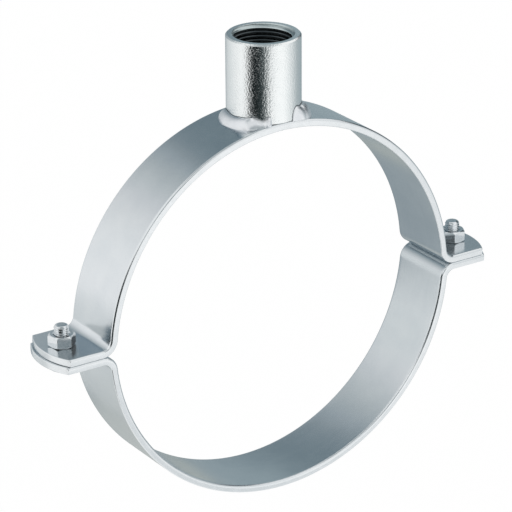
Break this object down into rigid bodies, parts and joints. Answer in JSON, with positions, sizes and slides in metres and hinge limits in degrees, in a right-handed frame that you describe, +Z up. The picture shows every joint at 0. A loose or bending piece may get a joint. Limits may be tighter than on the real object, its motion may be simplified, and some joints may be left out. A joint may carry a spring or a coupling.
{
  "type": "pipe bracket",
  "caption": "Split clamp ring of flat steel strip for a large pipe, with bolted ears at its sides and a threaded socket welded on its crown.",
  "frame": {"origin": "middle of the pipe space, on the plane where the ears meet", "axes": "+X along the ears, +Y along the pipe, +Z up through the threaded socket"},
  "size_m": [0.2796, 0.04, 0.256],
  "materials": {
    "plated_strip": "bright zinc-plated rolled strip",
    "plated_socket": "bright zinc-plated turned tube",
    "plated_weld": "zinc-plated weld bead",
    "plated_fastener": "bright zinc-plated bolts and nuts"
  },
  "bodies": {
    "upper_half": {"upper_band": "plated_strip", "socket": "plated_socket", "weld_left": "plated_weld", "weld_right": "plated_weld"},
    "lower_half": {"lower_band": "plated_strip", "bolt_left": "plated_fastener", "bolt_right": "plated_fastener"},
    "left_nut": {"nut_left": "plated_fastener"},
    "right_nut": {"nut_right": "plated_fastener"}
  },
  "joints": [
    {"name": "clamp_open", "type": "slide", "parent": "upper_half", "child": "lower_half", "axis": [0, 0, -1], "range_m": [0, 0.006]},
    {"name": "left_nut_turn", "type": "hinge", "parent": "upper_half", "child": "left_nut", "pos_m": [-0.1265, 0, 0.00725], "axis": [0, 0, 1], "range_deg": [0, 1800]},
    {"name": "right_nut_turn", "type": "hinge", "parent": "upper_half", "child": "right_nut", "pos_m": [0.1265, 0, 0.00725], "axis": [0, 0, 1], "range_deg": [0, 1800]}
  ],
  "couplings": [
    {"joint": "left_nut_turn", "follows": "clamp_open", "rad_per_m": 5026.5},
    {"joint": "right_nut_turn", "follows": "clamp_open", "rad_per_m": 5026.5}
  ]
}
